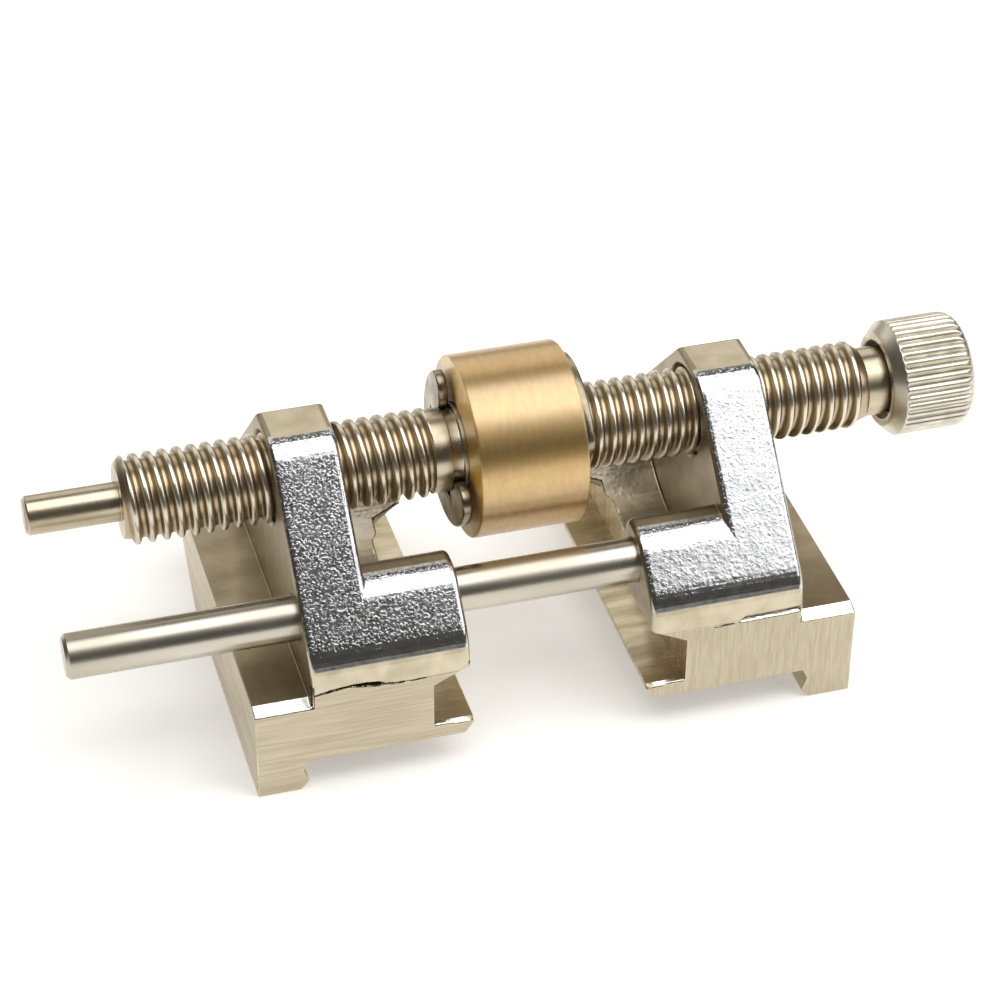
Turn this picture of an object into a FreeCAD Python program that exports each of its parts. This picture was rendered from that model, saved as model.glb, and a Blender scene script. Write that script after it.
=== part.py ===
import FreeCAD, Part
import math
import os
import Sketcher

# Side-clamping honing guide, in millimetres. X runs along the screw, from the plain pin to the knob, Y runs
# backwards from the ground clamping faces, and Z is up. The jaws stand on their lips, with the roller on top.
# The origin is under the middle of the whole guide. The mechanism's own origin, the middle of the roller seen
# from above, lies at (shift_x, shift_y).

DRIVING_SIZES = [
    # clamping jaws, measured from the middle of the roller, the screw's axis and the standing plane
    ("front_depth", 16.17), ("axis_height", 21.32), ("jaw_outer", 26.8), ("shelf_height", 9.11),
    ("shelf_bevel_run", 1.27), ("shelf_bevel_rise", 0.49), ("base_back", 10.68), ("tail_back", 18.91),
    ("arm_outer", 21.85), ("arm_inner", 15.97), ("slope_start", 12.68), ("boss_top", 26.31),
    ("back_slope_sum", 28.86), ("foot_inner", 8.04), ("foot_top", 17.3), ("foot_back", 7.79),
    ("ground_off", 0.05), ("tail_block_top", 13.72), ("saddle_radius", 13.43), ("join_height", 8.53),
    ("front_round", 4.4), ("boss_round", 3.6), ("foot_round", 3.6), ("foot_back_round", 1.47),
    ("side_round", 0.54),
    # lips: the low lip holds plane irons in the seat, the groove above it holds chisels
    ("outer_lip_foot", 23.08), ("outer_lip_tip", 22.29), ("outer_lip_tip_height", 0.78),
    ("undercut_x", 22.74), ("undercut_height", 2.06), ("seat_height", 3.04), ("lip_root", 8.53),
    ("lip_tip", 7.79), ("lip_tip_low", 4.07), ("lip_tip_top", 4.41), ("groove_wall", 11.27),
    ("groove_floor", 4.7), ("groove_roof", 8.82), ("upper_tip_height", 10.39), ("notch_wall", 10.78),
    ("notch_back", 6.86), ("notch_corner_back", 8.23),
    # screw and its holes
    ("thread_radius", 3.89), ("thread_depth", 0.55), ("thread_crest", 0.35), ("pitch", 1.25),
    ("bore_radius", 3.98), ("bore_chamfer", 0.29), ("pin_radius", 1.71), ("pin_end", 42.53),
    ("left_thread_end", 34.5), ("left_shoulder", 8.13), ("right_shoulder", 6.73),
    ("right_thread_end", 32.14), ("shoulder_radius", 3.67), ("neck_radius", 3.09),
    ("thread_chamfer", 0.69), ("tip_end", 39.69),
    # knob
    ("knob_start", 34.01), ("knob_end", 41.75), ("knob_radius", 5.19), ("knob_recess_radius", 3.58),
    ("knob_recess_depth", 1.18), ("knob_chamfer", 0.98), ("knob_round", 1.37), ("knurl_depth", 0.35),
    ("knurl_count", 38), ("knurl_width", 0.61),
    # roller and its clips
    ("roller_radius", 8.04), ("roller_half", 4.8), ("roller_bore", 3.94), ("roller_chamfer", 0.15),
    ("left_clip_gap", 0.34), ("right_clip_gap", 0.05), ("clip_thickness", 0.88), ("clip_radius", 6.86),
    ("clip_seat_radius", 3.43), ("clip_mouth_root", 1.13), ("clip_mouth_flare", 11.17),
    ("relief_near_y", 0.69), ("relief_near_z", 2.4), ("relief_low_y", 3.09), ("relief_low_z", 1.03),
    ("relief_far_y", 4.15), ("relief_far_z", 2.08), ("relief_high_y", 1.62), ("relief_high_z", 4.38),
    ("clip_prong_round", 1.47), ("clip_play", 0.03),
    # guide rod
    ("rod_radius", 1.96), ("rod_forward", 10.44), ("rod_height", 14.11), ("rod_left", 41.45),
    ("rod_right", 19.89), ("rod_slide_play", 0.06), ("rod_chamfer", 0.3),
]

# How far a cutting outline passes what it cuts, and how far a thread's ridge sinks into its core.
OVERSHOOT = 1
THREAD_SINK = 0.1

document = FreeCAD.newDocument("HoningGuide")
sheet = document.addObject("Spreadsheet::Sheet", "Sizes")


class Size:
    """A size with its value and the spreadsheet expression that gives it."""

    def __init__(self, value, text):
        self.value = value
        self.text = text

    def __add__(self, other):
        other = as_size(other)
        return Size(self.value + other.value, "(%s + %s)" % (self.text, other.text))

    def __sub__(self, other):
        other = as_size(other)
        return Size(self.value - other.value, "(%s - %s)" % (self.text, other.text))

    def __mul__(self, factor):
        return Size(self.value * factor, "(%s * %g)" % (self.text, factor))

    def __neg__(self):
        return Size(-self.value, "(0 - %s)" % self.text)


def as_size(number):
    return number if isinstance(number, Size) else Size(number, "%g" % number)


def fill_sheet():
    """Write the driving sizes into the sheet and return them as Size objects by name."""
    sizes = {}
    for row, (name, value) in enumerate(DRIVING_SIZES, start=1):
        sheet.set("A%d" % row, name)
        sheet.set("B%d" % row, str(value))
        sheet.setAlias("B%d" % row, name)
        sizes[name] = Size(value, "Sizes.%s" % name)
    document.recompute()
    return sizes


size = fill_sheet()
shift_x = (size["pin_end"] - size["knob_end"]) * 0.5
shift_y = (size["front_depth"] - size["tail_back"]) * 0.5


# ---- helpers for parametric features ----

def bind(target, name, value):
    target.setExpression(name, as_size(value).text)


def new_body(label):
    """A body whose own frame has its origin at the mechanism's origin."""
    body = document.addObject("PartDesign::Body", label)
    body.Label = label
    bind(body, "Placement.Base.x", shift_x)
    bind(body, "Placement.Base.y", shift_y)
    return body


def new_sketch(body, name, plane, offset=0):
    """A sketch on one of the body's origin planes, moved along the plane's normal by the offset."""
    sketch = body.newObject("Sketcher::SketchObject", name)
    supports = [item for item in body.Origin.OriginFeatures if item.Role == plane]
    sketch.AttachmentSupport = [(supports[0], "")]
    sketch.MapMode = "FlatFace"
    bind(sketch, "AttachmentOffset.Base.z", offset)
    return sketch


def place_point(sketch, geometry, end, u, v):
    """Fix one end of a line, or an arc's centre, at (u, v) with two bound distances."""
    for kind, value in (("DistanceX", as_size(u)), ("DistanceY", as_size(v))):
        index = sketch.addConstraint(Sketcher.Constraint(kind, -1, 1, geometry, end, value.value))
        sketch.setExpression("Constraints[%d]" % index, value.text)


def polygon(body, name, plane, corners, offset=0):
    """A closed outline of straight lines through the corners, each a pair of sizes."""
    sketch = new_sketch(body, name, plane, offset)
    corners = [(as_size(u), as_size(v)) for u, v in corners]
    points = [FreeCAD.Vector(u.value, v.value, 0) for u, v in corners]
    count = len(points)
    for index in range(count):
        sketch.addGeometry(Part.LineSegment(points[index], points[(index + 1) % count]))
    for index in range(count):
        sketch.addConstraint(Sketcher.Constraint("Coincident", index, 2, (index + 1) % count, 1))
    for index, (u, v) in enumerate(corners):
        place_point(sketch, index, 1, u, v)
    return sketch


def circle(body, name, plane, centre, radius, offset=0):
    sketch = new_sketch(body, name, plane, offset)
    u, v = (as_size(item) for item in centre)
    radius = as_size(radius)
    middle = FreeCAD.Vector(u.value, v.value, 0)
    sketch.addGeometry(Part.Circle(middle, FreeCAD.Vector(0, 0, 1), radius.value))
    index = sketch.addConstraint(Sketcher.Constraint("Radius", 0, radius.value))
    sketch.setExpression("Constraints[%d]" % index, radius.text)
    place_point(sketch, 0, 3, u, v)
    return sketch


def pad(body, name, sketch, length):
    feature = body.newObject("PartDesign::Pad", name)
    feature.Profile = sketch
    bind(feature, "Length", length)
    return settle(body, feature, +1)


def pocket(body, name, sketch, length=None):
    """Cut along the sketch's normal for a length, or right through on both sides when there is none."""
    feature = body.newObject("PartDesign::Pocket", name)
    feature.Profile = sketch
    if length is None:
        feature.Type = "ThroughAll"
        feature.Midplane = True
    else:
        feature.Reversed = True
        bind(feature, "Length", length)
    return settle(body, feature, -1)


def settle(body, feature, sign):
    """Recompute, make the feature the body's tip, and check that it added or removed material."""
    before = feature.BaseFeature.Shape.Volume if feature.BaseFeature else 0.0
    document.recompute()
    body.Tip = feature
    change = feature.Shape.Volume - before
    if change * sign <= 0:
        raise RuntimeError("%s in %s changed the volume by %.4f" % (feature.Name, body.Label, change))
    return feature


def edges_where(shape, test):
    """The names of the edges whose ends and middle all pass the test, given as (x, y, z)."""
    names = []
    for index, edge in enumerate(shape.Edges, start=1):
        middle = edge.valueAt((edge.FirstParameter + edge.LastParameter) / 2)
        points = [vertex.Point for vertex in edge.Vertexes] + [middle]
        if all(test(point.x, point.y, point.z) for point in points):
            names.append("Edge%d" % index)
    return names


def dress(body, kind, name, base, edges, amount):
    """A fillet or chamfer of the named edges."""
    feature = body.newObject("PartDesign::" + kind, name)
    feature.Base = (base, edges)
    bind(feature, "Radius" if kind == "Fillet" else "Size", amount)
    document.recompute()
    if not edges or feature.Shape.isNull() or not feature.Shape.isValid():
        raise RuntimeError("%s in %s failed on %s" % (name, body.Label, edges))
    body.Tip = feature
    return feature


def near(value, target, margin=0.02):
    return abs(value - target) < margin


# ---- jaws ----

def jaw(label, side):
    """One jaw. Side is +1 for the jaw beside the knob and -1 for its mirror image."""
    body = new_body(label)
    front = -size["front_depth"] - size["ground_off"]
    axis = size["axis_height"]
    boss_front = size["boss_top"] - size["slope_start"] + front
    foot_ridge = size["foot_top"] - size["slope_start"] + front
    tail_low = size["tail_back"] - size["base_back"]
    tail_top = size["back_slope_sum"] - size["tail_back"]
    joint = size["join_height"]

    def slab(name, near_x, far_x, corners):
        """Extrude a side-view outline from near_x to far_x, both counted from the middle of the roller."""
        offset = near_x if side > 0 else -far_x
        sketch = polygon(body, name + "Outline", "YZ_Plane", corners, offset)
        return pad(body, name, sketch, far_x - near_x)

    def across(name, near_x, far_x, centre, radius):
        """Drill along the screw's direction from near_x to far_x."""
        offset = near_x if side > 0 else -far_x
        sketch = circle(body, name + "Outline", "YZ_Plane", centre, radius, offset)
        return pocket(body, name, sketch, far_x - near_x)

    def lengthwise(name, corners):
        """Mill a front-view outline right through from front to back."""
        mirrored = [(u * side, v) for u, v in corners]
        return pocket(body, name, polygon(body, name + "Outline", "XZ_Plane", mirrored))

    slab("Base", size["lip_tip"], size["jaw_outer"], [
        (front, as_size(0)), (size["base_back"], as_size(0)), (size["tail_back"], tail_low),
        (size["tail_back"], size["shelf_height"]),
        (front + size["shelf_bevel_run"], size["shelf_height"]),
        (front, size["shelf_height"] - size["shelf_bevel_rise"])])
    slab("TailBlock", size["foot_inner"], size["arm_inner"] + OVERSHOOT, [
        (as_size(0), joint), (size["tail_back"], joint), (size["tail_back"], tail_top),
        (size["back_slope_sum"] - size["tail_block_top"], size["tail_block_top"]),
        (as_size(0), size["tail_block_top"])])
    across("Saddle", size["lip_tip"] - OVERSHOOT, size["arm_inner"], (as_size(0), axis),
           size["saddle_radius"])
    slab("Arm", size["arm_inner"], size["arm_outer"], [
        (front, joint), (size["tail_back"], joint), (size["tail_back"], tail_top),
        (size["back_slope_sum"] - size["boss_top"], size["boss_top"]),
        (boss_front, size["boss_top"]), (front, size["slope_start"])])
    slab("Foot", size["foot_inner"], size["arm_inner"] + OVERSHOOT, [
        (front, size["groove_floor"] + OVERSHOOT), (-size["foot_back"], size["groove_floor"] + OVERSHOOT),
        (-size["foot_back"], size["foot_top"]), (foot_ridge, size["foot_top"]), (front, size["slope_start"])])

    slope_sum = size["slope_start"].value - front.value
    sides = [size[name].value for name in ("arm_inner", "arm_outer", "foot_inner")]

    def on_slope(x, y, z):
        return near(z - y, slope_sum)

    def round_off(name, amount, test):
        dress(body, "Fillet", name, body.Tip, edges_where(body.Tip.Shape, test), amount)

    round_off("FrontRound", size["front_round"], lambda x, y, z: near(y, front.value)
              and on_slope(x, y, z))
    round_off("BossRound", size["boss_round"], lambda x, y, z: near(z, size["boss_top"].value)
              and on_slope(x, y, z))
    round_off("RidgeRound", size["foot_round"], lambda x, y, z: near(z, size["foot_top"].value)
              and on_slope(x, y, z))
    round_off("FootBackRound", size["foot_back_round"], lambda x, y, z: near(z, size["foot_top"].value)
              and near(y, -size["foot_back"].value))
    round_off("SideRounds", size["side_round"], lambda x, y, z: on_slope(x, y, z)
              and any(near(abs(x), distance) for distance in sides))
    beyond = (size["jaw_outer"] + OVERSHOOT) * side
    face_off = polygon(body, "FaceOffOutline", "XY_Plane", [
        (as_size(0), front - OVERSHOOT), (beyond, front - OVERSHOOT),
        (beyond, -size["front_depth"]), (as_size(0), -size["front_depth"])], -OVERSHOOT)
    pocket(body, "FaceOff", face_off, size["boss_top"])

    lengthwise("Seat", [
        (size["lip_tip"] - OVERSHOOT, as_size(-OVERSHOOT)), (size["outer_lip_foot"], as_size(-OVERSHOOT)),
        (size["outer_lip_foot"], as_size(0)), (size["outer_lip_tip"], size["outer_lip_tip_height"]),
        (size["undercut_x"], size["undercut_height"]), (size["outer_lip_tip"], size["seat_height"]),
        (size["lip_root"], size["seat_height"]), (size["lip_tip"], size["lip_tip_low"]),
        (size["lip_tip"] - OVERSHOOT, size["lip_tip_low"])])
    lengthwise("ChiselGroove", [
        (size["lip_tip"] - OVERSHOOT, size["lip_tip_top"]), (size["lip_tip"], size["lip_tip_top"]),
        (size["groove_wall"], size["groove_floor"]), (size["groove_wall"], size["groove_roof"]),
        (size["foot_inner"], size["upper_tip_height"]),
        (size["lip_tip"] - OVERSHOOT, size["upper_tip_height"])])
    notch_side = (size["foot_inner"] - OVERSHOOT) * side
    notch_wall = size["notch_wall"] * side
    notch = polygon(body, "LipNotchOutline", "XY_Plane", [
        (notch_side, -size["foot_back"]), (notch_wall, -size["foot_back"]),
        (notch_wall, size["notch_back"]), (notch_side, size["notch_corner_back"])], size["groove_floor"])
    pocket(body, "LipNotch", notch, size["tail_block_top"] - size["groove_floor"] + OVERSHOOT)

    across("ScrewHole", size["arm_inner"] - OVERSHOOT, size["arm_outer"] + OVERSHOOT, (as_size(0), axis),
           size["bore_radius"])
    rims = edges_where(body.Tip.Shape, lambda x, y, z: near(math.hypot(y, z - axis.value),
                                                            size["bore_radius"].value)
                       and (near(abs(x), size["arm_inner"].value) or near(abs(x), size["arm_outer"].value)))
    dress(body, "Chamfer", "ScrewHoleRims", body.Tip, rims, size["bore_chamfer"])
    rod = (-size["rod_forward"], size["rod_height"])
    if side > 0:
        across("RodHole", size["foot_inner"] - OVERSHOOT, size["rod_right"], rod, size["rod_radius"])
    else:
        across("RodHole", size["foot_inner"] - OVERSHOOT, size["arm_outer"] + OVERSHOOT, rod,
               size["rod_radius"] + size["rod_slide_play"])
    return body


# ---- screw, knob, roller, clips and rod ----

def turned(label, corners):
    """A body turned about the screw's axis from a half outline of (x, radius) corners."""
    body = new_body(label)
    bind(body, "Placement.Base.z", size["axis_height"])
    feature = body.newObject("PartDesign::Revolution", "Turned")
    outline = polygon(body, "HalfOutline", "XZ_Plane", corners)
    feature.Profile = outline
    feature.ReferenceAxis = (outline, ["H_Axis"])
    feature.Angle = 360
    settle(body, feature, +1)
    return body


def thread(body, name, start, length, left_handed):
    """A helical ridge on the core, from start towards +X, with a flat crest and 30 degree flanks."""
    crest_half = size["thread_crest"] * 0.5
    base_half = crest_half + (size["thread_depth"] + THREAD_SINK) * math.tan(math.radians(30))
    root = size["thread_radius"] - size["thread_depth"] - THREAD_SINK
    middle = start + size["pitch"] * 0.5
    outline = polygon(body, name + "Outline", "XZ_Plane", [
        (middle - base_half, root), (middle + base_half, root),
        (middle + crest_half, size["thread_radius"]), (middle - crest_half, size["thread_radius"])])
    feature = body.newObject("PartDesign::AdditiveHelix", name)
    feature.Profile = outline
    feature.ReferenceAxis = (outline, ["H_Axis"])
    feature.Mode = "pitch-height-angle"
    bind(feature, "Pitch", size["pitch"])
    bind(feature, "Height", length)
    feature.LeftHanded = left_handed
    return settle(body, feature, +1)


def trim(body, name, corners):
    """Turn away everything inside a half outline of (x, radius) corners."""
    feature = body.newObject("PartDesign::Groove", name)
    outline = polygon(body, name + "Outline", "XZ_Plane", corners)
    feature.Profile = outline
    feature.ReferenceAxis = (outline, ["H_Axis"])
    feature.Angle = 360
    return settle(body, feature, -1)


def spindle():
    core = size["thread_radius"] - size["thread_depth"]
    chamfer = size["rod_chamfer"]
    slot_width = size["clip_thickness"] + size["clip_play"] * 2
    left_slot = -size["roller_half"] - size["left_clip_gap"] + size["clip_play"]
    right_slot = size["roller_half"] + size["right_clip_gap"] - size["clip_play"]
    full = size["thread_radius"]
    collar = size["shoulder_radius"]
    body = turned("spindle", [
        (-size["pin_end"], as_size(0)), (-size["pin_end"], size["pin_radius"] - chamfer),
        (-size["pin_end"] + chamfer, size["pin_radius"]), (-size["left_thread_end"], size["pin_radius"]),
        (-size["left_thread_end"], core), (-size["left_shoulder"], core), (-size["left_shoulder"], collar),
        (left_slot - slot_width, collar), (left_slot - slot_width, size["clip_seat_radius"]),
        (left_slot, size["clip_seat_radius"]), (left_slot, full), (right_slot, full),
        (right_slot, size["clip_seat_radius"]), (right_slot + slot_width, size["clip_seat_radius"]),
        (right_slot + slot_width, collar), (size["right_shoulder"], collar),
        (size["right_shoulder"], core), (size["right_thread_end"], core),
        (size["right_thread_end"], size["neck_radius"]), (size["tip_end"], size["neck_radius"]),
        (size["tip_end"], as_size(0))])
    left_start = -size["left_thread_end"] - size["pitch"]
    left_runout = size["pitch"] * 0.75
    thread(body, "LeftThread", left_start, -size["left_shoulder"] - left_runout - left_start, False)
    right_length = size["right_thread_end"] - size["right_shoulder"]
    thread(body, "RightThread", size["right_shoulder"], right_length, True)
    clear = full + OVERSHOOT
    bevel = size["thread_chamfer"]
    trim(body, "LeftEnd", [
        (left_start - OVERSHOOT, size["pin_radius"]), (-size["left_thread_end"], size["pin_radius"]),
        (-size["left_thread_end"], full - bevel), (bevel - size["left_thread_end"], full),
        (bevel - size["left_thread_end"], clear), (left_start - OVERSHOOT, clear)])
    trim(body, "RightEnd", [
        (size["right_thread_end"], size["neck_radius"]), (size["tip_end"], size["neck_radius"]),
        (size["tip_end"], clear), (size["right_thread_end"] - bevel, clear),
        (size["right_thread_end"] - bevel, full), (size["right_thread_end"], full - bevel)])
    return body


def knob():
    face = size["knob_start"] + size["knob_recess_depth"]
    outer = size["knob_radius"]
    chamfer = size["knob_chamfer"]
    body = turned("knob", [
        (face, size["neck_radius"]), (face, size["knob_recess_radius"]),
        (size["knob_start"], size["knob_recess_radius"]), (size["knob_start"], outer - chamfer),
        (size["knob_start"] + chamfer, outer), (size["knob_end"], outer), (size["knob_end"], as_size(0)),
        (size["tip_end"], as_size(0)), (size["tip_end"], size["neck_radius"])])
    end_rim = edges_where(body.Tip.Shape, lambda x, y, z: near(x, size["knob_end"].value)
                          and near(math.hypot(y, z), outer.value))
    dress(body, "Fillet", "EndRound", body.Tip, end_rim, size["knob_round"])
    bottom = outer - size["knurl_depth"]
    half = size["knurl_width"] * 0.5
    outline = polygon(body, "KnurlOutline", "YZ_Plane", [
        (-half, outer), (-half, outer + OVERSHOOT), (half, outer + OVERSHOOT), (half, outer),
        (as_size(0), bottom)], size["knob_start"] - OVERSHOOT)
    cut = pocket(body, "Knurl", outline, size["knob_end"] - size["knob_start"] + 2 * OVERSHOOT)
    pattern = body.newObject("PartDesign::PolarPattern", "Knurls")
    pattern.Originals = [cut]
    pattern.Axis = ([item for item in body.Origin.OriginFeatures if item.Role == "X_Axis"][0], [""])
    pattern.Angle = 360
    bind(pattern, "Occurrences", size["knurl_count"])
    document.recompute()
    body.Tip = pattern
    return body


def roller():
    half = size["roller_half"]
    outer = size["roller_radius"]
    bore = size["roller_bore"]
    chamfer = size["roller_chamfer"]
    return turned("roller", [
        (-half, bore), (-half, outer - chamfer), (-half + chamfer, outer), (half - chamfer, outer),
        (half, outer - chamfer), (half, bore)])


def clip(label, side, turn):
    """A retaining clip in its slot beside the roller. Its mouth faces -Y, turned about X by the angle."""
    body = new_body(label)
    bind(body, "Placement.Base.z", size["axis_height"])
    body.Placement.Rotation = FreeCAD.Rotation(FreeCAD.Vector(1, 0, 0), turn)
    if side > 0:
        offset = size["roller_half"] + size["right_clip_gap"]
    else:
        offset = -size["roller_half"] - size["left_clip_gap"] - size["clip_thickness"]
    centre = (as_size(0), as_size(0))
    pad(body, "Disc", circle(body, "DiscOutline", "YZ_Plane", centre, size["clip_radius"], offset),
        size["clip_thickness"])
    seat_radius = size["clip_seat_radius"] + size["clip_play"]
    pocket(body, "SeatHole", circle(body, "SeatOutline", "YZ_Plane", centre, seat_radius, offset),
           size["clip_thickness"])
    rim = -size["clip_radius"] - OVERSHOOT
    mouth = polygon(body, "MouthOutline", "YZ_Plane", [
        (rim, -size["clip_mouth_flare"]), (as_size(0), -size["clip_mouth_root"]),
        (as_size(0), size["clip_mouth_root"]), (rim, size["clip_mouth_flare"])], offset)
    pocket(body, "Mouth", mouth, size["clip_thickness"])
    for number, sign in enumerate((-1, 1), start=1):
        relief = polygon(body, "Relief%dOutline" % number, "YZ_Plane", [
            (size["relief_near_y"], size["relief_near_z"] * sign),
            (size["relief_low_y"], size["relief_low_z"] * sign),
            (size["relief_far_y"], size["relief_far_z"] * sign),
            (size["relief_high_y"], size["relief_high_z"] * sign)], offset)
        pocket(body, "Relief%d" % number, relief, size["clip_thickness"])
    radii = (seat_radius.value, size["clip_radius"].value)
    mouth_angle = 85
    corners = edges_where(body.Tip.Shape, lambda x, y, z: math.degrees(math.atan2(abs(z), -y)) < mouth_angle
                          and any(near(math.hypot(y, z), radius) for radius in radii))
    straight = [name for name in corners if near(body.Tip.Shape.getElement(name).Length,
                                                 size["clip_thickness"].value)]
    dress(body, "Fillet", "ProngRounds", body.Tip, straight, size["clip_prong_round"])
    return body


def guide_rod():
    chamfer = size["rod_chamfer"]
    radius = size["rod_radius"]
    body = turned("guide_rod", [
        (-size["rod_left"], as_size(0)), (-size["rod_left"], radius - chamfer),
        (-size["rod_left"] + chamfer, radius), (size["rod_right"] - chamfer, radius),
        (size["rod_right"], radius - chamfer), (size["rod_right"], as_size(0))])
    bind(body, "Placement.Base.y", shift_y - size["rod_forward"])
    bind(body, "Placement.Base.z", size["rod_height"])
    return body


subparts = [
    jaw("left_jaw", -1),
    jaw("right_jaw", +1),
    spindle(),
    knob(),
    roller(),
    clip("left_clip", -1, -50),
    clip("right_clip", +1, 50),
    guide_rod(),
]


def check_and_export():
    document.recompute()
    for item in document.Objects:
        if "Invalid" in item.State or "Error" in item.State:
            raise RuntimeError("%s failed: %s" % (item.Label, item.State))
    for subpart in subparts:
        if subpart.Shape.isNull() or not subpart.Shape.isValid() or len(subpart.Shape.Solids) != 1:
            raise RuntimeError("%s isn't one valid solid" % subpart.Label)
    os.makedirs("parts", exist_ok=True)
    for subpart in subparts:
        subpart.Shape.exportStep("parts/%s.step" % subpart.Label)
        box = subpart.Shape.BoundBox
        print("%-10s volume %8.1f  x %6.2f %6.2f  y %6.2f %6.2f  z %6.2f %6.2f" % (
            subpart.Label, subpart.Shape.Volume, box.XMin, box.XMax, box.YMin, box.YMax, box.ZMin, box.ZMax))


check_and_export()
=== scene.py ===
import math

import bmesh
import bpy
from mathutils import Matrix, Vector, noise


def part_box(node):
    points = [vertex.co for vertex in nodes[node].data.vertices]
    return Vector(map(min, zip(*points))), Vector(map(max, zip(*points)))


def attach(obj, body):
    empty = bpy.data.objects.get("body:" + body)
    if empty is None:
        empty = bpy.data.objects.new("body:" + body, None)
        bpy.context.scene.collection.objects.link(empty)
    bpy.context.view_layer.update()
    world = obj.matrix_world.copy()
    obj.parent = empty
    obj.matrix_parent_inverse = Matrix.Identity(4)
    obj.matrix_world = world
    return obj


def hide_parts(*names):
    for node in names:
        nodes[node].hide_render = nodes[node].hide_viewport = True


# A side-clamping honing guide on a pale studio floor. Lengths are in metres unless a name says otherwise.

MM = 0.001
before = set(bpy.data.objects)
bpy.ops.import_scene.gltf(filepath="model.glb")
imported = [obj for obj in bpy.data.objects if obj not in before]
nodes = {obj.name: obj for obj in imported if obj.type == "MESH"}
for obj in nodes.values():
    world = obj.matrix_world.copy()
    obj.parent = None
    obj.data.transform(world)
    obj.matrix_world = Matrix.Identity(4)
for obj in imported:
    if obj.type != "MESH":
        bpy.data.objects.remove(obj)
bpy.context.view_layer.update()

roller_low, roller_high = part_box("roller")
AXIS = (roller_low + roller_high) / 2          # the middle of the roller, on the screw's axis
SLOPE_NORMAL = Vector((0, -1, 1)).normalized()
ALONG = Vector((1, 0, 0))                      # along the screw, towards the knob
UP = Vector((0, 0, 1))


# ---- camera ----

CAMERA_AZIMUTH = math.radians(16.37)
CAMERA_ELEVATION = math.radians(36.46)
CAMERA_ROLL = math.radians(-0.52)
CAMERA_DISTANCE = 0.2691
CAMERA_TARGET = Vector((-1.345, -4.194, 16.993)) * MM
CAMERA_LENS_MM = 111.5
CAMERA_SENSOR_MM = 36
CAMERA_CLIP_START = 0.01


def make_camera():
    forward = Vector((math.sin(CAMERA_AZIMUTH) * math.cos(CAMERA_ELEVATION),
                      math.cos(CAMERA_AZIMUTH) * math.cos(CAMERA_ELEVATION), -math.sin(CAMERA_ELEVATION)))
    level_right = forward.cross(UP).normalized()
    level_up = level_right.cross(forward)
    up = level_up * math.cos(CAMERA_ROLL) + level_right * math.sin(CAMERA_ROLL)
    right = forward.cross(up)
    data = bpy.data.cameras.new("camera")
    data.lens = CAMERA_LENS_MM
    data.sensor_width = CAMERA_SENSOR_MM
    data.clip_start = CAMERA_CLIP_START
    camera = bpy.data.objects.new("camera", data)
    turn = Matrix((right, up, -forward)).transposed()
    camera.matrix_world = Matrix.Translation(CAMERA_TARGET - forward * CAMERA_DISTANCE) @ turn.to_4x4()
    bpy.context.scene.collection.objects.link(camera)
    bpy.context.scene.camera = camera


# ---- materials ----

def srgb(red, green, blue):
    """A display colour given as 0 to 255, as the linear colour that a shader takes."""
    def linear(value):
        value /= 255
        return value / 12.92 if value <= 0.04045 else ((value + 0.055) / 1.055) ** 2.4
    return (linear(red), linear(green), linear(blue), 1)


def new_material(name):
    material = bpy.data.materials.new(name)
    material.use_nodes = True
    tree = material.node_tree
    return material, tree, tree.nodes["Principled BSDF"]


EVEN = (1, 1, 1)                               # a noise that isn't stretched


def noise_of(tree, scale, stretch=EVEN, detail=3.0):
    """Noise over the object's own coordinates, with the scale in features per metre."""
    place = tree.nodes.new("ShaderNodeTexCoord")
    mapping = tree.nodes.new("ShaderNodeMapping")
    mapping.inputs["Scale"].default_value = stretch
    tree.links.new(place.outputs["Object"], mapping.inputs["Vector"])
    texture = tree.nodes.new("ShaderNodeTexNoise")
    texture.inputs["Scale"].default_value = scale
    texture.inputs["Detail"].default_value = detail
    tree.links.new(mapping.outputs["Vector"], texture.inputs["Vector"])
    return texture.outputs["Fac"]


def ramp_of(tree, source, stops):
    """A colour ramp from (position, colour) stops. A plain number stands for a grey."""
    ramp = tree.nodes.new("ShaderNodeValToRGB")
    elements = ramp.color_ramp.elements
    while len(elements) < len(stops):
        elements.new(1.0)
    for element, (position, colour) in zip(elements, stops):
        element.position = position
        element.color = (colour,) * 3 + (1,) if isinstance(colour, (int, float)) else colour
    tree.links.new(source, ramp.inputs["Fac"])
    return ramp.outputs["Color"]


def bump_on(tree, shader, *heights):
    """Stack bumps on a shader, each a (height socket, depth in metres)."""
    normal = None
    for height, depth in heights:
        bump = tree.nodes.new("ShaderNodeBump")
        bump.inputs["Distance"].default_value = depth
        tree.links.new(height, bump.inputs["Height"])
        if normal is not None:
            tree.links.new(normal, bump.inputs["Normal"])
        normal = bump.outputs["Normal"]
    tree.links.new(normal, shader.inputs["Normal"])


def metal(name, dark, light, roughness, tint, rough_spread, bumps=()):
    """A metal whose colour and roughness wander with a noise, which the tint gives as (scale, stretch).
    Bumps are (scale, stretch, depth in metres)."""
    material, tree, shader = new_material(name)
    shader.inputs["Metallic"].default_value = 1.0
    shade = noise_of(tree, tint[0], tint[1], 4.0)
    tree.links.new(ramp_of(tree, shade, [(0.35, dark), (0.65, light)]), shader.inputs["Base Color"])
    tree.links.new(ramp_of(tree, shade, [(0.3, roughness + rough_spread), (0.7, roughness - rough_spread)]),
                   shader.inputs["Roughness"])
    if bumps:
        bump_on(tree, shader, *[(noise_of(tree, scale, stretch), depth) for scale, stretch, depth in bumps])
    return material


def lacquered(material, index, roughness):
    """Add a clear reflection over a metal, which makes its highlights paler than the metal."""
    shader = material.node_tree.nodes["Principled BSDF"]
    shader.inputs["Coat Weight"].default_value = 1.0
    shader.inputs["Coat IOR"].default_value = index
    shader.inputs["Coat Roughness"].default_value = roughness
    return material


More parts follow.
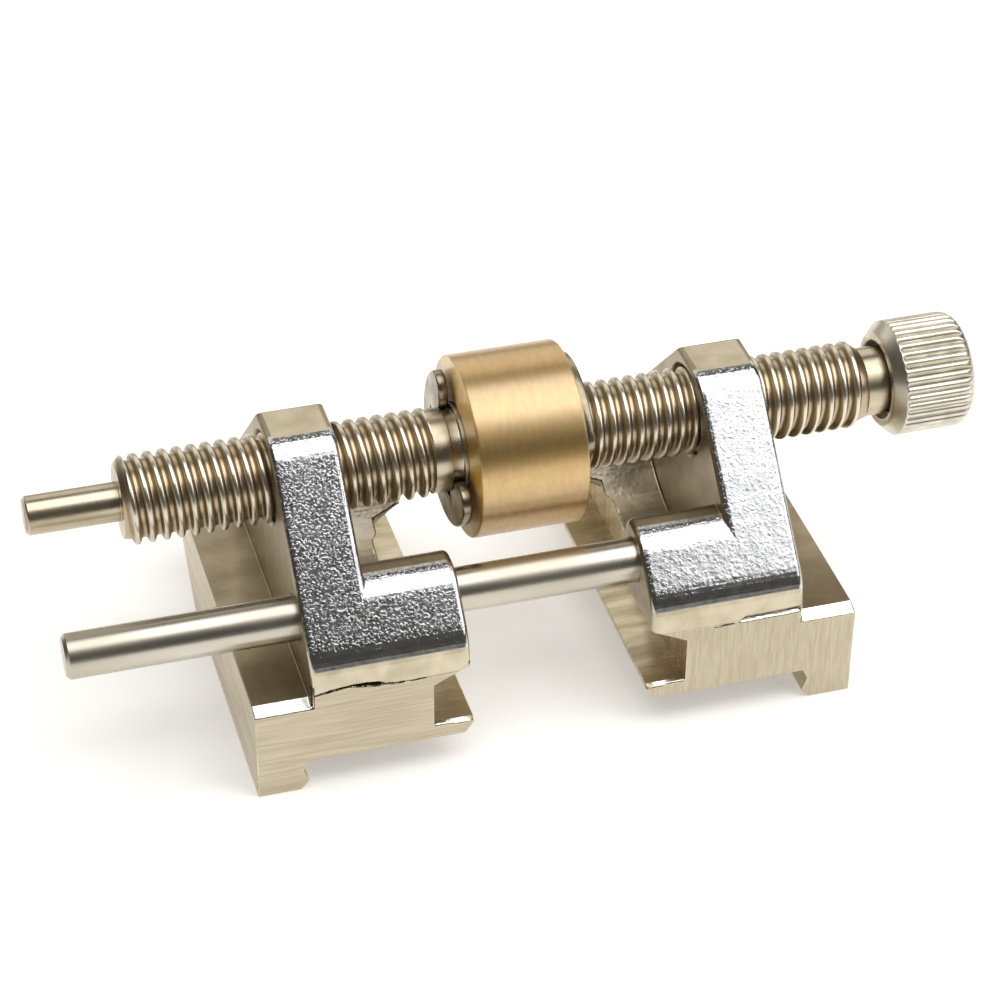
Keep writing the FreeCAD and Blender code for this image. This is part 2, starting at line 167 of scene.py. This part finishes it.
QUARTER_TURN = 0.25                            # as a share of a whole turn


def turned_finish(material, amount):
    """Spread the highlights along the screw's axis, as fine turning marks around it do."""
    tree = material.node_tree
    around = tree.nodes.new("ShaderNodeTangent")
    around.direction_type = "RADIAL"
    around.axis = "X"
    shader = tree.nodes["Principled BSDF"]
    shader.inputs["Anisotropic"].default_value = amount
    shader.inputs["Anisotropic Rotation"].default_value = QUARTER_TURN
    tree.links.new(around.outputs["Tangent"], shader.inputs["Tangent"])
    return material


GRAIN_SCALE = 4300                             # grains per metre
GRAIN_RANGE = (0.52, 0.72)                     # only the peaks of the noise stand up as grains
GRAIN_DEPTH = 0.000012


def sparkling(material):
    """Add the fine grain of a cast surface under its plating: small separate bumps that catch the light."""
    tree = material.node_tree
    low, high = GRAIN_RANGE
    grain = ramp_of(tree, noise_of(tree, GRAIN_SCALE, EVEN, 2.0), [(low, 0.0), (high, 1.0)])
    bump_on(tree, tree.nodes["Principled BSDF"], (grain, GRAIN_DEPTH))
    return material


def make_materials():
    made = {}
    made["plated"] = sparkling(metal("plated_casting", srgb(194, 195, 197), srgb(210, 211, 212), 0.17,
                                     (900, EVEN), 0.04))
    made["plated_round"] = metal("plated_round", srgb(198, 198, 196), srgb(220, 220, 218), 0.20,
                                 (1500, EVEN), 0.06, [(1600, (0.4, 1, 1), 0.000006)])
    # Near-black painted shade for the faces inside the torn slit on the left jaw's front.
    made["painted_shading"] = metal("torn_slit_painted_shade", srgb(44, 36, 26), srgb(84, 72, 54), 0.6, (3000, EVEN), 0.1,
                          [(4000, EVEN, 0.00003)])
    made["bevel"] = metal("bright_bevel", srgb(206, 206, 202), srgb(222, 221, 217), 0.22, (900, EVEN), 0.05,
                          [(2500, EVEN, 0.000012)])
    made["smooth"] = metal("smooth_casting", srgb(192, 180, 154), srgb(208, 198, 174), 0.24,
                           (500, EVEN), 0.05, [(2600, (0.3, 1, 1), 0.000006)])
    made["ground"] = metal("ground_face", srgb(186, 174, 149), srgb(201, 190, 167), 0.40,
                           (200, (1, 1, 24)), 0.05,
                           [(120, (1, 1, 26), 0.000007), (400, (1, 1, 20), 0.000004)])
    made["ground_upright"] = metal("ground_face_upright", srgb(185, 174, 150), srgb(198, 188, 165), 0.40,
                                   (420, (13, 1, 1)), 0.05,
                                   [(350, (14, 1, 1), 0.000005), (600, (12, 1, 1), 0.000003)])
    made["top"] = metal("boss_top", srgb(194, 184, 159), srgb(208, 198, 175), 0.34, (500, EVEN), 0.05,
                        [(1500, EVEN, 0.00001)])
    made["side"] = metal("machined_side", srgb(193, 182, 155), srgb(203, 193, 168), 0.38,
                         (160, (1, 1, 5)), 0.04, [(400, (1, 1, 6), 0.000012), (4000, EVEN, 0.000004)])
    made["cast"] = metal("satin_casting", srgb(152, 139, 115), srgb(168, 156, 132), 0.36, (350, EVEN), 0.05,
                         [(1400, EVEN, 0.00002), (5200, EVEN, 0.000006)])
    # The saddle under the roller is coloured darker than the casting round it, as painted shade on its bored
    # finish.
    made["saddle"] = metal("bored_saddle_painted_shade", srgb(118, 110, 96), srgb(146, 138, 124), 0.22, (500, (0.5, 1, 1)),
                           0.04, [(2200, (1, 0.15, 0.15), 0.000002)])
    made["milled"] = metal("milled_lip", srgb(184, 171, 142), srgb(212, 201, 177), 0.28,
                           (160, (1, 6, 1)), 0.07,
                           [(300, (1, 9, 1), 0.000012), (5000, (0.2, 2, 1), 0.000004)])
    # The thread's colour is painted highlight and painted shade, set by the distance from the axis.
    made["thread"] = thread_painted_shading()
    made["screw"] = metal("screw_smooth", srgb(182, 170, 146), srgb(206, 196, 174), 0.28,
                          (500, (0.4, 1, 1)), 0.06, [(2600, (1, 0.1, 0.1), 0.000006)])
    made["nickel"] = metal("knob_nickel", srgb(200, 194, 178), srgb(220, 215, 201), 0.33, (600, EVEN), 0.05,
                           [(3500, EVEN, 0.000005)])
    brass = metal("roller_brass", srgb(223, 177, 70), srgb(230, 186, 85), 0.57, (900, (3, 1, 1)), 0.03,
                  [(2600, (1, 0.25, 0.25), 0.000003), (7000, (1, 0.4, 0.4), 0.000003)])
    made["brass"] = lacquered(turned_finish(brass, 0.9), 2.45, 0.30)
    made["clip"] = metal("clip_steel", srgb(138, 127, 106), srgb(172, 162, 142), 0.30, (500, EVEN), 0.06,
                         [(3000, EVEN, 0.000008)])
    made["rod"] = metal("rod_steel", srgb(188, 181, 166), srgb(206, 200, 188), 0.30, (300, (0.3, 1, 1)), 0.05,
                        [(1800, (1, 0.1, 0.1), 0.000004), (500, (0.1, 1, 1), 0.000003)])
    return made


THREAD_ROOT = 3.34                             # both in millimetres from the screw's axis
THREAD_CREST = 3.89


def thread_painted_shading():
    """Thread colour painted by the distance from the axis: lightest on the crests, a darker band low on the
    flanks and lighter again in the roots, as painted highlight and painted shade.
    """
    material, tree, shader = new_material("thread_painted_shading")
    shader.inputs["Metallic"].default_value = 1.0
    place = tree.nodes.new("ShaderNodeTexCoord")
    offset = tree.nodes.new("ShaderNodeVectorMath")
    offset.operation = "SUBTRACT"
    offset.inputs[1].default_value = AXIS
    tree.links.new(place.outputs["Object"], offset.inputs[0])
    across = tree.nodes.new("ShaderNodeVectorMath")
    across.operation = "MULTIPLY"
    across.inputs[1].default_value = (0, 1 / MM, 1 / MM)
    tree.links.new(offset.outputs[0], across.inputs[0])
    radius = tree.nodes.new("ShaderNodeVectorMath")
    radius.operation = "LENGTH"
    tree.links.new(across.outputs[0], radius.inputs[0])
    depth = tree.nodes.new("ShaderNodeMapRange")
    depth.inputs["From Min"].default_value = THREAD_ROOT
    depth.inputs["From Max"].default_value = THREAD_CREST
    tree.links.new(radius.outputs["Value"], depth.inputs["Value"])
    # Painted highlight on the crests and in the roots, painted shade low on the flanks.
    painted_shading = ramp_of(tree, depth.outputs["Result"], [(0.0, srgb(186, 170, 142)), (0.3, srgb(146, 129, 102)),
                                                    (0.75, srgb(192, 179, 154)), (1.0, srgb(222, 214, 196))])
    tree.links.new(painted_shading, shader.inputs["Base Color"])
    tree.links.new(ramp_of(tree, depth.outputs["Result"], [(0.0, 0.30), (0.4, 0.42), (1.0, 0.28)]),
                   shader.inputs["Roughness"])
    bump_on(tree, shader, (noise_of(tree, 2600), 0.000008))
    return material


materials = make_materials()


# ---- pieces ----

def new_object(name, mesh, body, replaced):
    piece = bpy.data.objects.new(name, mesh)
    bpy.context.scene.collection.objects.link(piece)
    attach(piece, body)
    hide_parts(replaced)
    return piece


JOIN_GAP = 1e-7                                # vertices closer than this are one
FLAT = math.radians(0.5)                       # faces that meet at less than this become one face
ROUNDED = math.radians(25)                     # edges that turn by more than this are rounded
SHARP = math.radians(55)                       # edges that still turn by more than this are shaded sharp


def edge_round(bm, width):
    """Round the sharp edges of a solid."""
    sharp = [edge for edge in bm.edges if len(edge.link_faces) == 2 and edge.calc_face_angle() > ROUNDED]
    bmesh.ops.bevel(bm, geom=sharp, offset=width, segments=2, profile=0.5, affect="EDGES",
                    clamp_overlap=False)


def cad_copy(node):
    """The node's mesh as plain joined faces, with each flat side as one face."""
    bm = bmesh.new()
    bm.from_mesh(nodes[node].data)
    bmesh.ops.remove_doubles(bm, verts=bm.verts, dist=JOIN_GAP)
    bmesh.ops.dissolve_limit(bm, angle_limit=FLAT, verts=bm.verts, edges=bm.edges)
    return bm


def finish_mesh(bm, name):
    mesh = bpy.data.meshes.new(name)
    bmesh.ops.recalc_face_normals(bm, faces=bm.faces)
    for face in bm.faces:
        face.smooth = True
    for edge in bm.edges:
        edge.smooth = edge.calc_face_angle(0) < SHARP
    bm.to_mesh(mesh)
    bm.free()
    return mesh


LARGE_FACE_WEIGHT = 80


def soften_shading(piece):
    """Let large faces set the normals, so that flat faces stay flat up to their rounded edges."""
    modifier = piece.modifiers.new("normals", "WEIGHTED_NORMAL")
    modifier.keep_sharp = True
    modifier.weight = LARGE_FACE_WEIGHT


def smoothstep(low, high, value):
    share = max(0.0, min(1.0, (value - low) / (high - low)))
    return share * share * (3 - 2 * share)


CUT_GAP = 1e-8                                 # a vertex this near a cutting plane lies on it


def cut_rows(bm, faces, direction, spots):
    """Cut the faces by a plane at each spot along a direction, and return them in their new pieces."""
    geometry = list(dict.fromkeys(item for face in faces for item in (face, *face.edges, *face.verts)))
    for spot in spots:
        geometry = bmesh.ops.bisect_plane(bm, geom=geometry, dist=CUT_GAP, plane_co=direction * spot,
                                          plane_no=direction)["geom"]
    return [item for item in geometry if isinstance(item, bmesh.types.BMFace)]


def rows(start, end, step):
    """The places of the cuts between a start and an end."""
    return [start + step * index for index in range(1, int((end - start) / step) + 1)]


def tilt_of(normal):
    """How far a face leans back from facing the front, in degrees. A level top is at 90."""
    return math.degrees(math.atan2(normal.z, -normal.y))


PEBBLE_STEP = 0.10 * MM                        # the grid that the pebbles are cut from
PEBBLE_SIZE = 0.46 * MM
PEBBLE_DEPTH = 0.012 * MM
PEBBLE_REACH = 0.62                            # how far from its middle a pebble falls away, in pebble sizes
PEBBLE_START = (31, 43)                        # the tilts where the pebbles fade in, and out again
PEBBLE_END = (66, 84)
PEBBLE_SIDE = (0.55, 0.2)                      # and how far sideways a face looks where they fade in
CAST_FACING = 0.80                             # faces that look this much along the slope's normal are cut
TINY_AREA = 1e-9                               # square metres, for faces too small to cut


def pebble_share(normal):
    """How much of the pebbles a slope's face shows: all on the slope, and less where it rounds off."""
    tilt = tilt_of(normal)
    return (smoothstep(*PEBBLE_START, tilt) * (1 - smoothstep(*PEBBLE_END, tilt))
            * smoothstep(*PEBBLE_SIDE, abs(normal.x)))


def pebble(bm):
    """Cut the cast slope into a fine grid and sink it between scattered spots, which leaves real pebbles.
    Vertices on the border of the grid stay where they are."""
    uphill = Vector((0, 1, 1)).normalized()
    cast = [face for face in bm.faces
            if face.normal.dot(SLOPE_NORMAL) > CAST_FACING and face.calc_area() > TINY_AREA]
    for direction in (ALONG, uphill):
        spots = [vertex.co.dot(direction) for face in cast for vertex in face.verts]
        cast = cut_rows(bm, cast, direction, rows(min(spots), max(spots), PEBBLE_STEP))
    bm.normal_update()
    inside = set(cast)
    share = {}
    for face in cast:
        for vertex in face.verts:
            if vertex not in share:
                kept = all(other in inside for other in vertex.link_faces)
                share[vertex] = pebble_share(vertex.normal) if kept else 0.0
    moves = []
    for vertex, value in share.items():
        nearest = noise.voronoi(vertex.co / PEBBLE_SIZE)[0][0]
        uneven = 0.75 + 0.5 * noise.noise(vertex.co / (2 * PEBBLE_SIZE))
        depth = smoothstep(0.0, PEBBLE_REACH, nearest) * uneven
        moves.append((vertex, vertex.normal * (-PEBBLE_DEPTH * value * depth)))
    for vertex, move in moves:
        vertex.co += move


# Where the grinding of the front faces breaks into the casting: a torn slit on the left jaw and a bright
# nick on the right one. Each point is (from the roller, height, reach below, reach above, depth), all in
# millimetres.
TEARS = {
    "left_jaw": [(-21.8, 10.0, 0.05, 0.05, 0.1), (-20.3, 10.25, 0.12, 0.12, 0.3),
                 (-18.8, 10.45, 0.10, 0.10, 0.3), (-17.4, 10.45, 0.34, 0.12, 0.7),
                 (-16.2, 10.25, 0.34, 0.20, 0.7), (-15.6, 10.1, 0.05, 0.05, 0.1),
                 (-14.7, 9.95, 0.10, 0.08, 0.3), (-13.4, 9.92, 0.08, 0.06, 0.2),
                 (-11.7, 9.98, 0.05, 0.04, 0.1)],
    "right_jaw": [(13.4, 9.8, 0.05, 0.05, 0.02), (14.6, 9.85, 0.10, 0.10, 0.2),
                  (15.8, 9.9, 0.05, 0.05, 0.02), (16.5, 9.95, 0.16, 0.60, 0.26),
                  (19.2, 10.0, 0.16, 0.60, 0.24), (21.7, 10.05, 0.18, 0.60, 0.28)],
}
TEAR_STEPS = (0.22, 0.055)                     # the grid along the screw and upwards, in millimetres
TEAR_BAND = (9.55, 10.75)                      # the heights between which the front is cut, in millimetres


def tear_depth(tears, x, z):
    """How deep the torn line goes at a spot of the front face, in millimetres."""
    for (x0, z0, low0, high0, deep0), (x1, z1, low1, high1, deep1) in zip(tears, tears[1:]):
        if x0 <= x <= x1:
            share = (x - x0) / (x1 - x0)
            middle = z0 + (z1 - z0) * share + 0.05 * noise.noise(Vector((x * 3, 0, 0)))
            reach = low0 + (low1 - low0) * share if z < middle else high0 + (high1 - high0) * share
            return (deep0 + (deep1 - deep0) * share) * max(0.0, 1 - abs(z - middle) / reach)
    return 0.0


def tear_front(bm, node):
    """Cut the torn line between the ground face and the casting above it into the front of a jaw."""
    tears = TEARS[node]
    front = [face for face in bm.faces if face.normal.y < -0.9]
    front = cut_rows(bm, front, UP, [height * MM for height in TEAR_BAND])
    band = [face for face in front if TEAR_BAND[0] * MM < face.calc_center_median().z < TEAR_BAND[1] * MM]
    ends = [AXIS.x + tears[index][0] * MM for index in (0, -1)]
    band = cut_rows(bm, band, ALONG, rows(ends[0], ends[1], TEAR_STEPS[0] * MM))
    band = cut_rows(bm, band, UP, rows(TEAR_BAND[0] * MM, TEAR_BAND[1] * MM, TEAR_STEPS[1] * MM))
    inside = set(band)
    for vertex in {vertex for face in band for vertex in face.verts}:
        if all(face in inside for face in vertex.link_faces):
            vertex.co.y += tear_depth(tears, (vertex.co.x - AXIS.x) / MM, vertex.co.z / MM) * MM


GROOVE_FLOOR = (4.2 * MM, 5 * MM)              # the groove's floor lies between these heights
LIP_RUN = 0.45 * MM                            # how far the bevel on the lower lip reaches back and down
LIP_DROP = 0.2 * MM


def slope_lip(bm, low):
    """Dress the front end of the lower lip with a shallow bevel."""
    bottom, top = GROOVE_FLOOR
    floor = [face for face in bm.faces if face.normal.z > 0.9 and bottom < face.calc_center_median().z < top]
    cut_rows(bm, floor, Vector((0, 1, 0)), [low.y + LIP_RUN])
    for vertex in bm.verts:
        if vertex.co.y < low.y + 0.01 * MM and bottom < vertex.co.z < top:
            if any(face.normal.z > 0.9 for face in vertex.link_faces):
                vertex.co.z -= LIP_DROP


JAW_SLOTS = ["plated", "plated_round", "painted_shading", "bevel", "smooth", "ground", "top", "side", "cast", "saddle",
             "milled"]
GROUND_TOP = 10.1 * MM                         # the front faces are ground up to here
LIP_TOP = 8.9 * MM                             # the lips and the outer sides end below this height
TORN_DEPTH = (0.05 * MM, MM)                   # how far behind the front face torn faces lie
SLOPE_FOOT = 10.4 * MM                         # the slope's plating starts at this height
PLATED_TILTS = (20, 38, 88)                    # the rounded foot, the slope and its end, as tilts
BEVEL_TILTS = (55, 80)                         # the dressed edges of the lips, as tilts
BEVEL_DEPTH = 1.4 * MM                         # how far the dressed edges of the lips reach back
BEVEL_TOP = 9.4 * MM
SMOOTH_DEPTH = 2.5 * MM                        # how far the smooth band round the front reaches back
SADDLE_REACH = (13 * MM, 13.6 * MM)            # the saddle's distance from the screw's axis
LIP_REACH = 11.6 * MM                          # the lips' milled faces lie this near the roller's middle
SIDE_REACH = 22 * MM                           # and the outer sides this far from it


def jaw_kind(normal, centre, low, high):
    """Which finish a face of a jaw has, from where it looks and where it lies. The bare numbers below are
    limits for one part of the face's unit normal."""
    from_roller = abs(centre.x - AXIS.x)
    from_screw = math.hypot(centre.y - AXIS.y, centre.z - AXIS.z)
    behind = centre.y - low.y
    tilt = tilt_of(normal)
    foot, slope, end = PLATED_TILTS
    if TEAR_BAND[0] * MM < centre.z < TEAR_BAND[1] * MM and TORN_DEPTH[0] < behind < TORN_DEPTH[1]:
        # The torn faces of the left jaw take the near-black painted shade.
        return "painted_shading" if centre.x < 0 else "bevel" if normal.z > 0.3 else "smooth"
    if normal.y < -0.97 and centre.z < GROUND_TOP:
        return "ground"
    if normal.z > 0.998 and centre.z > high.z - 0.1 * MM:
        return "top"
    if foot < tilt < end and abs(normal.x) < 0.8 and centre.y < AXIS.y and centre.z > SLOPE_FOOT:
        return "plated" if tilt > slope else "plated_round"
    if BEVEL_TILTS[0] < tilt < BEVEL_TILTS[1] and behind < BEVEL_DEPTH and centre.z < BEVEL_TOP:
        return "bevel"
    if normal.y < -0.2 and behind < SMOOTH_DEPTH:
        return "smooth"
    if SADDLE_REACH[0] < from_screw < SADDLE_REACH[1] and abs(normal.x) < 0.5 and centre.z > LIP_TOP:
        return "saddle"
    if centre.z < LIP_TOP and from_roller < LIP_REACH and abs(normal.y) < 0.3:
        return "milled"
    if centre.z < LIP_TOP and from_roller > SIDE_REACH and abs(normal.x) > 0.7:
        return "side"
    return "cast"


JAW_EDGE = 0.13 * MM                           # the rounding of a jaw's edges
CLIP_EDGE = 0.16 * MM


def make_jaw(node, body, ground):
    low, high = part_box(node)
    bm = cad_copy(node)
    slope_lip(bm, low)
    edge_round(bm, JAW_EDGE)
    pebble(bm)
    tear_front(bm, node)
    for vertex in bm.verts:
        vertex.co.y = max(vertex.co.y, low.y)
    bm.normal_update()
    for face in bm.faces:
        face.material_index = JAW_SLOTS.index(jaw_kind(face.normal, face.calc_center_median(), low, high))
    piece = new_object(node + "_casting", finish_mesh(bm, node + "_casting"), body, node)
    for name in JAW_SLOTS:
        piece.data.materials.append(materials[ground if name == "ground" else name])
    soften_shading(piece)


def make_clip(node):
    bm = cad_copy(node)
    edge_round(bm, CLIP_EDGE)
    piece = new_object(node + "_ring", finish_mesh(bm, node + "_ring"), "clips", node)
    piece.data.materials.append(materials["clip"])
    soften_shading(piece)


# ---- turned pieces, with outlines of (x, radius) in millimetres from the middle of the roller ----

def eased(corners, amount, steps=3):
    """The outline with each corner inside it replaced by a short curve, which takes less than half of a
    side."""
    points = [corners[0]]
    for before, corner, after in zip(corners, corners[1:], corners[2:]):
        ends = []
        for other in (before, after):
            gap = math.dist(corner, other)
            share = min(amount, gap * 0.45) / gap
            ends.append([here + (there - here) * share for here, there in zip(corner, other)])
        for step in range(steps + 1):
            t = step / steps
            points.append(tuple((1 - t) ** 2 * start + 2 * t * (1 - t) * middle + t ** 2 * end
                                for start, middle, end in zip(ends[0], corner, ends[1])))
    return points + [corners[-1]]


def turned_piece(node, name, body, outline, segments, surface, limit=None, closed=False):
    """A solid turned about the screw's axis. The limit gives the largest radius allowed at an x and a turn
    from straight up towards the front, and surface(x) names the material there. A closed outline is a ring
    with a hole, and any other gets flat ends."""
    bm = bmesh.new()
    rings = []
    for x, radius in outline:
        ring = []
        for index in range(segments):
            turn = 2 * math.pi * index / segments
            reach = min(radius, limit(x, turn)) if limit else radius
            spot = Vector((x, -math.sin(turn) * reach, math.cos(turn) * reach))
            ring.append(bm.verts.new(AXIS + spot * MM))
        rings.append(ring)
    names = sorted({surface(x) for x, _ in outline})
    if closed:
        outline = outline + outline[:1]
        rings.append(rings[0])
    for (x, _), (next_x, _), ring, following in zip(outline, outline[1:], rings, rings[1:]):
        for index in range(segments):
            after = (index + 1) % segments
            face = bm.faces.new((ring[index], ring[after], following[after], following[index]))
            face.material_index = names.index(surface((x + next_x) / 2))
    if not closed:
        for (x, _), ring in ((outline[0], rings[0]), (outline[-1], rings[-1])):
            bm.faces.new(ring).material_index = names.index(surface(x))
    piece = new_object(name, finish_mesh(bm, name), body, node)
    for key in names:
        piece.data.materials.append(materials[key])
    return piece


PITCH = 1.25
LEFT_THREAD = (-34.5, -7.6)
RIGHT_THREAD = (6.1, 32.14)
LEFT_CREST = -35.125                           # a crest of each thread, straight above the axis
RIGHT_CREST = 7.355
RIDGE_SIDES = (0.20, 0.80)                     # where a ridge's side starts and ends, from crest to root


def thread_limit(x, turn):
    """The rounded ridges of the two threads. The left one is right-handed, and the right one left-handed."""
    for (start, end), crest, hand in ((LEFT_THREAD, LEFT_CREST, 1), (RIGHT_THREAD, RIGHT_CREST, -1)):
        if start <= x <= end:
            phase = (x - crest) / PITCH - hand * turn / (2 * math.pi)
            away = 2 * abs(phase - round(phase))
            return THREAD_ROOT + (THREAD_CREST - THREAD_ROOT) * (1 - smoothstep(*RIDGE_SIDES, away))
    return THREAD_CREST


POINTS_PER_TURN = 14                           # outline points for each turn of the thread
SPINDLE_SEGMENTS = 96
ROLLER_SEGMENTS = 144
RIDGE_SEGMENTS = 10                            # segments round each ridge of the knob
KNURL_START = (34.9, 35.3)                     # the knob's ridges fade in here, clear of its chamfer


def stations(start, end, step):
    """Outline points at even steps, for the thread's limit to shape."""
    count = max(1, round((end - start) / step))
    return [(start + (end - start) * index / count, THREAD_CREST) for index in range(count + 1)]


def make_spindle():
    """From the left: pin, thread, collar, clip slot, journal for the roller, clip slot, collar, thread and
    neck."""
    pin, collar, seat, neck = 1.71, 3.67, 3.43, 3.09
    journal_start, journal_end = -5.11, 4.82
    left_slot, right_slot = journal_start - 0.94, journal_end + 0.94
    step = PITCH / POINTS_PER_TURN
    hair = 0.001                               # keeps the collars' corners just clear of the threads
    outline = eased([(-42.53, 1.41), (-42.23, pin), (-34.5, pin), (-34.5, 3.2), (-33.81, THREAD_CREST),
                     (-33.6, THREAD_CREST)], 0.06)
    outline += stations(-33.5, LEFT_THREAD[1], step)
    outline += eased([(LEFT_THREAD[1] + hair, collar), (left_slot, collar), (left_slot, seat),
                      (journal_start, seat), (journal_start, THREAD_CREST), (journal_end, THREAD_CREST),
                      (journal_end, seat), (right_slot, seat), (right_slot, collar),
                      (RIGHT_THREAD[0] - hair, collar)], 0.08)
    outline += stations(RIGHT_THREAD[0], 31.4, step)
    outline += eased([(31.45, THREAD_CREST), (32.14, 3.2), (32.14, neck), (39.6, neck), (39.69, 3.0)], 0.06)

    def surface(x):
        threaded = LEFT_THREAD[0] < x < LEFT_THREAD[1] or RIGHT_THREAD[0] < x < RIGHT_THREAD[1]
        return "thread" if threaded else "screw"

    piece = turned_piece("spindle", "screw_spindle", "screw", outline, SPINDLE_SEGMENTS,
                         surface, thread_limit)
    soften_shading(piece)


def make_knob():
    """A knob with a chamfered face, a recess round the neck, straight ridges and a rounded end."""
    ridges, crest, groove, end, corner = 38, 5.19, 4.86, 41.749, 1.37
    face, recess, hole, rim = 34.01, 35.19, 3.58, 4.21
    end_round = [(end + corner * (math.sin(turn) - 1), crest + corner * (math.cos(turn) - 1))
                 for turn in [math.radians(9 * step) for step in range(11)]]
    outline = eased([(recess, 3.0), (recess, hole), (face, hole), (face, rim), (34.99, crest),
                     (35.1, crest)], 0.12)
    # Close points where the ridges fade in, and wider ones along them.
    outline += [(35.1 + 0.1 * step, crest) for step in range(1, 4)]
    outline += [(35.5 + 0.5 * step, crest) for step in range(1, 10)]
    outline += end_round + [(end, 2.0), (end, 0.5)]

    def knurl(x, turn):
        valley = 1 - abs(math.sin(ridges / 2 * turn)) ** 0.7
        return crest - (crest - groove) * valley * smoothstep(*KNURL_START, x)

    def surface(x):
        return "screw" if x < face + 0.01 else "nickel"

    turned_piece("knob", "knurled_knob", "screw", outline, ridges * RIDGE_SEGMENTS, surface,
                 knurl)


def make_roller():
    bore, rim, half = 3.94, 8.04, 4.8
    outline = eased([(0, bore), (-half, bore), (-half, rim), (half, rim), (half, bore), (0, bore)], 0.22, 5)
    piece = turned_piece("roller", "brass_roller", "roller", outline[:-1], ROLLER_SEGMENTS,
                         lambda x: "brass", closed=True)
    soften_shading(piece)


def give(node, material):
    """Put a material on a node that stays as the CAD made it."""
    mesh = nodes[node].data
    if not mesh.materials:
        mesh.materials.append(None)
    for slot in nodes[node].material_slots:
        slot.material = material


# ---- light and floor ----

def area_light(name, azimuth, elevation, distance, width, height, radiance, colour=(1, 1, 1)):
    """A rectangular soft box of the given brightness. Azimuth is in degrees from the front towards the
    knob's side."""
    data = bpy.data.lights.new(name, "AREA")
    data.shape = "RECTANGLE"
    data.size = width
    data.size_y = height
    data.energy = radiance * math.pi * width * height
    data.color = colour
    light = bpy.data.objects.new(name, data)
    turn = math.radians(azimuth)
    rise = math.radians(elevation)
    toward = Vector((math.sin(turn) * math.cos(rise), -math.cos(turn) * math.cos(rise), math.sin(rise)))
    aim = (-toward).to_track_quat("-Z", "Y").to_matrix().to_4x4()
    light.matrix_world = Matrix.Translation(AXIS + toward * distance) @ aim
    bpy.context.scene.collection.objects.link(light)


ROOM_COLOUR = (1, 0.92, 0.80, 1)
ROOM_STRENGTH = 0.06
FLOOR_SIZE = 4                                 # metres
FLOOR_COLOUR = (0.93, 0.92, 0.90, 1)
FLOOR_GLOW = (1, 0.99, 0.97, 1)                # the paper is lit from below a little, which keeps it white
FLOOR_GLOW_STRENGTH = 0.36


def make_studio():
    world = bpy.data.worlds.new("studio")
    world.use_nodes = True
    world.node_tree.nodes["Background"].inputs["Color"].default_value = ROOM_COLOUR
    world.node_tree.nodes["Background"].inputs["Strength"].default_value = ROOM_STRENGTH
    bpy.context.scene.world = world
    bpy.context.scene.view_settings.view_transform = "Standard"
    # The angles are in degrees, and the distance, width and height in metres.
    area_light("top_box", 0, 84, 0.5, 0.6, 0.45, 2.3)
    area_light("front_right_box", 64, 42, 0.42, 0.41, 0.32, 1.9)
    area_light("back_card", 180, 31, 0.6, 1.2, 0.44, 1.0, (1, 0.96, 0.88))
    bpy.ops.mesh.primitive_plane_add(size=FLOOR_SIZE)
    floor = bpy.context.object
    floor.name = "floor"
    material, _, shader = new_material("floor_paper")
    shader.inputs["Base Color"].default_value = FLOOR_COLOUR
    shader.inputs["Roughness"].default_value = 0.9
    shader.inputs["Specular IOR Level"].default_value = 0.1
    shader.inputs["Emission Color"].default_value = FLOOR_GLOW
    shader.inputs["Emission Strength"].default_value = FLOOR_GLOW_STRENGTH
    floor.data.materials.append(material)


make_camera()
make_studio()
make_jaw("left_jaw", "sliding_jaw", "ground")
make_jaw("right_jaw", "fixed_jaw", "ground_upright")
make_clip("left_clip")
make_clip("right_clip")
make_spindle()
make_knob()
make_roller()
give("guide_rod", materials["rod"])
